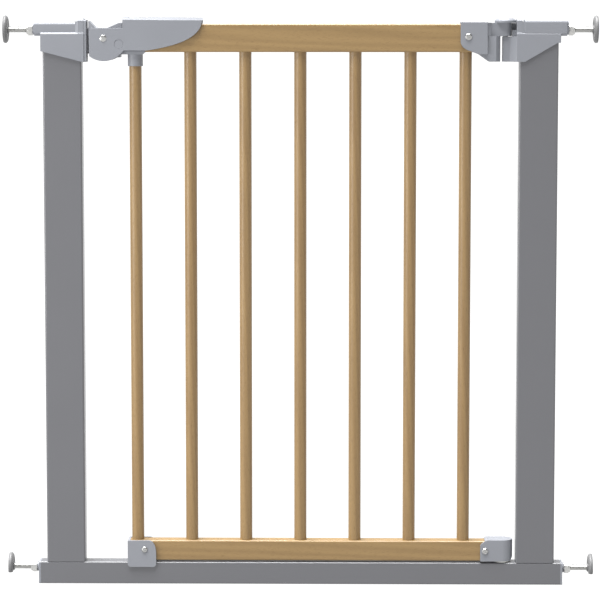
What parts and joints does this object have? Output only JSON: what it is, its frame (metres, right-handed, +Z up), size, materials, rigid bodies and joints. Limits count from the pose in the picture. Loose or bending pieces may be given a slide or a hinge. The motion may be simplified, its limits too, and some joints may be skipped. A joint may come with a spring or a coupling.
{
  "type": "safety baby gate",
  "caption": "Pressure-fit safety gate for a doorway: grey steel U-frame with spindle-mounted wall pads and a beech bar door that lifts, swings both ways and latches with a lever handle.",
  "frame": {"origin": "on the floor below the base rail, midway between the wall pads and midway through the depth", "axes": "+X runs along the base rail towards the hinge side, +Y is the rear, -Y the front with the screws, +Z is up"},
  "size_m": [0.76, 0.0354, 0.7367],
  "materials": {
    "frame_lacquer": "satin silver-grey lacquer on steel tube",
    "grey_shell": "fine-grained silver-grey moulded plastic",
    "buffer_rubber": "matt grey rubber",
    "zinc_steel": "bright zinc plate",
    "nylon": "natural nylon",
    "beech_rail": "clear-lacquered beech, grain along the rail",
    "beech_bar": "clear-lacquered turned beech",
    "spindle_steel": "zinc-plated steel, rolled thread",
    "pad_plastic": "grey moulded plastic",
    "pad_rubber": "soft grey rubber"
  },
  "bodies": {
    "frame": {"left_post": "frame_lacquer", "right_post": "frame_lacquer", "base_rail": "frame_lacquer", "end_cap_left": "grey_shell", "end_cap_right": "grey_shell", "bracket_left": "grey_shell", "bracket_right": "grey_shell", "striker_plate": "grey_shell", "latch_buffer": "buffer_rubber", "top_hinge_pin": "zinc_steel", "bottom_hinge_pin": "zinc_steel", "bracket_screws": "zinc_steel", "striker_screws": "zinc_steel"},
    "bush": {"pivot_bush": "nylon"},
    "door": {"top_rail": "beech_rail", "bottom_rail": "beech_rail", "bar_1": "beech_bar", "bar_2": "beech_bar", "bar_3": "beech_bar", "bar_4": "beech_bar", "bar_5": "beech_bar", "bar_6": "beech_bar", "bar_7": "beech_bar", "latch_block": "grey_shell", "rail_dowel": "beech_bar", "top_hinge_block": "grey_shell", "hinge_cap": "grey_shell", "bottom_shoe": "grey_shell", "bottom_fork": "grey_shell", "handle_pivot": "zinc_steel", "door_screws": "zinc_steel"},
    "handle": {"latch_handle": "grey_shell", "stop_pin": "grey_shell"},
    "lock": {"lock_slide": "grey_shell", "lock_spring": "zinc_steel"},
    "spindle_top_left": {"spindle_top_left": "spindle_steel", "pad_top_left": "pad_plastic", "pad_face_top_left": "pad_rubber"},
    "nut_top_left": {"nut_top_left": "spindle_steel"},
    "spindle_top_right": {"spindle_top_right": "spindle_steel", "pad_top_right": "pad_plastic", "pad_face_top_right": "pad_rubber"},
    "nut_top_right": {"nut_top_right": "spindle_steel"},
    "spindle_low_left": {"spindle_low_left": "spindle_steel", "pad_low_left": "pad_plastic", "pad_face_low_left": "pad_rubber"},
    "nut_low_left": {"nut_low_left": "spindle_steel"},
    "spindle_low_right": {"spindle_low_right": "spindle_steel", "pad_low_right": "pad_plastic", "pad_face_low_right": "pad_rubber"},
    "nut_low_right": {"nut_low_right": "spindle_steel"}
  },
  "joints": [
    {"name": "gate_swing", "type": "hinge", "parent": "frame", "child": "bush", "pos_m": [0.262, 0, 0.04], "axis": [0, 0, 1], "range_deg": [-90, 90]},
    {"name": "gate_lift", "type": "slide", "parent": "bush", "child": "door", "axis": [0, 0, 1], "range_m": [0, 0.008]},
    {"name": "handle_lift", "type": "hinge", "parent": "door", "child": "handle", "pos_m": [-0.2515, 0, 0.7076], "axis": [0, -1, 0], "range_deg": [0, 25]},
    {"name": "lock_push", "type": "slide", "parent": "handle", "child": "lock", "axis": [-1, 0, 0], "range_m": [0, 0.005], "stiffness_N_per_m": 150, "springref_m": -0.002, "deforming": ["lock_spring"]},
    {"name": "nut_turn_top_left", "type": "hinge", "parent": "frame", "child": "nut_top_left", "pos_m": [-0.3465, 0, 0.7186], "axis": [-1, 0, 0], "range_deg": [-4356, 5796]},
    {"name": "spindle_out_top_left", "type": "slide", "parent": "frame", "child": "spindle_top_left", "axis": [-1, 0, 0], "range_m": [-0.015, 0.02]},
    {"name": "nut_turn_top_right", "type": "hinge", "parent": "frame", "child": "nut_top_right", "pos_m": [0.3465, 0, 0.7186], "axis": [1, 0, 0], "range_deg": [-4356, 5796]},
    {"name": "spindle_out_top_right", "type": "slide", "parent": "frame", "child": "spindle_top_right", "axis": [1, 0, 0], "range_m": [-0.015, 0.02]},
    {"name": "nut_turn_low_left", "type": "hinge", "parent": "frame", "child": "nut_low_left", "pos_m": [-0.3465, 0, 0.0208], "axis": [-1, 0, 0], "range_deg": [-4356, 5796]},
    {"name": "spindle_out_low_left", "type": "slide", "parent": "frame", "child": "spindle_low_left", "axis": [-1, 0, 0], "range_m": [-0.015, 0.02]},
    {"name": "nut_turn_low_right", "type": "hinge", "parent": "frame", "child": "nut_low_right", "pos_m": [0.3465, 0, 0.0208], "axis": [1, 0, 0], "range_deg": [-4356, 5796]},
    {"name": "spindle_out_low_right", "type": "slide", "parent": "frame", "child": "spindle_low_right", "axis": [1, 0, 0], "range_m": [-0.015, 0.02]}
  ],
  "couplings": [
    {"joint": "nut_turn_top_left", "follows": "spindle_out_top_left", "rad_per_m": 5026.5},
    {"joint": "nut_turn_top_right", "follows": "spindle_out_top_right", "rad_per_m": 5026.5},
    {"joint": "nut_turn_low_left", "follows": "spindle_out_low_left", "rad_per_m": 5026.5},
    {"joint": "nut_turn_low_right", "follows": "spindle_out_low_right", "rad_per_m": 5026.5}
  ]
}
